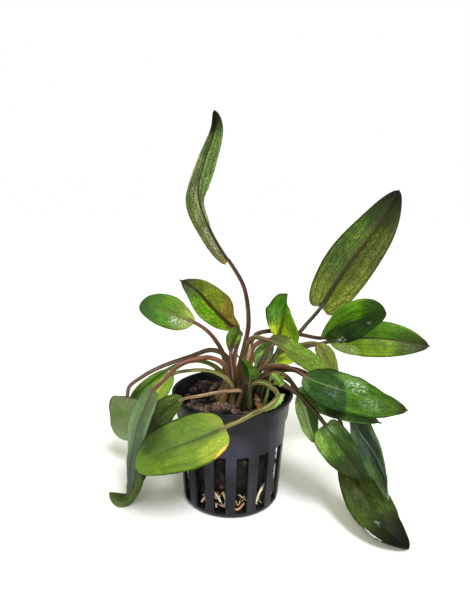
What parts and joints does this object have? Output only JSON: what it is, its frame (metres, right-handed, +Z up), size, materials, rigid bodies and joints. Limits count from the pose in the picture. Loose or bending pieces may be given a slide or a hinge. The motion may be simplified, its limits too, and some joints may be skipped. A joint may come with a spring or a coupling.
{
  "type": "potted cryptocoryne",
  "caption": "Small aquarium plant with long stalked lance-shaped leaves spreading from one crown, growing in a slotted net pot filled with growing medium.",
  "frame": {"origin": "centre of the pot's flat base, on the surface that it stands on", "axes": "+Z up, -Y towards the side that the picture shows, +X to the right in the picture"},
  "size_m": [0.1525, 0.0753, 0.173],
  "materials": {
    "pot": "satin, moulded black plastic, slightly glossy",
    "medium": "rough, damp brown granules and fibre",
    "crown": "fibrous, matt, brown and tan",
    "root": "smooth, damp, tan to white",
    "leaf_olive": "leaf skin, semi-gloss, olive with brown midrib",
    "leaf_green": "leaf skin, wet gloss, mid green",
    "leaf_bright": "leaf skin, semi-gloss, yellow-green",
    "leaf_dark": "leaf skin, satin, dark green",
    "leaf_pale": "leaf underside, matt, grey green",
    "seedling": "leaf skin, matt, pale green",
    "dry_sheath": "papery, dry, tan"
  },
  "bodies": {
    "root": {"net_pot": "pot", "growing_medium": "medium", "crown": "crown", "leaf_tall_twisted": "leaf_olive", "leaf_upper_left": "leaf_olive", "leaf_young_folded": "leaf_olive", "leaf_left_round": "leaf_green", "leaf_center_small": "leaf_bright", "leaf_right_upright": "leaf_olive", "leaf_right_round": "leaf_green", "leaf_right_pointed": "leaf_bright", "leaf_olive_front": "leaf_olive", "leaf_olive_behind": "leaf_olive", "leaf_young_yellow": "leaf_bright", "leaf_right_glossy": "leaf_green", "leaf_right_under": "leaf_dark", "leaf_right_narrow": "leaf_dark", "leaf_right_hanging": "leaf_green", "leaf_right_folded": "leaf_dark", "leaf_right_table": "leaf_dark", "leaf_left_far": "leaf_pale", "leaf_left_hanging": "leaf_pale", "leaf_front_left": "leaf_bright", "leaf_left_table": "leaf_dark", "leaf_left_bright": "leaf_bright", "leaf_left_behind": "leaf_bright", "leaf_young_front": "leaf_bright", "leaf_young_behind": "leaf_dark", "seedling_center": "seedling", "seedling_rim": "seedling", "sheath_dry": "dry_sheath", "root_front_left": "root", "root_front_center": "root", "root_front_right": "root", "root_right": "root", "root_back_right": "root", "root_back_left": "root", "root_left": "root"}
  },
  "joints": []
}
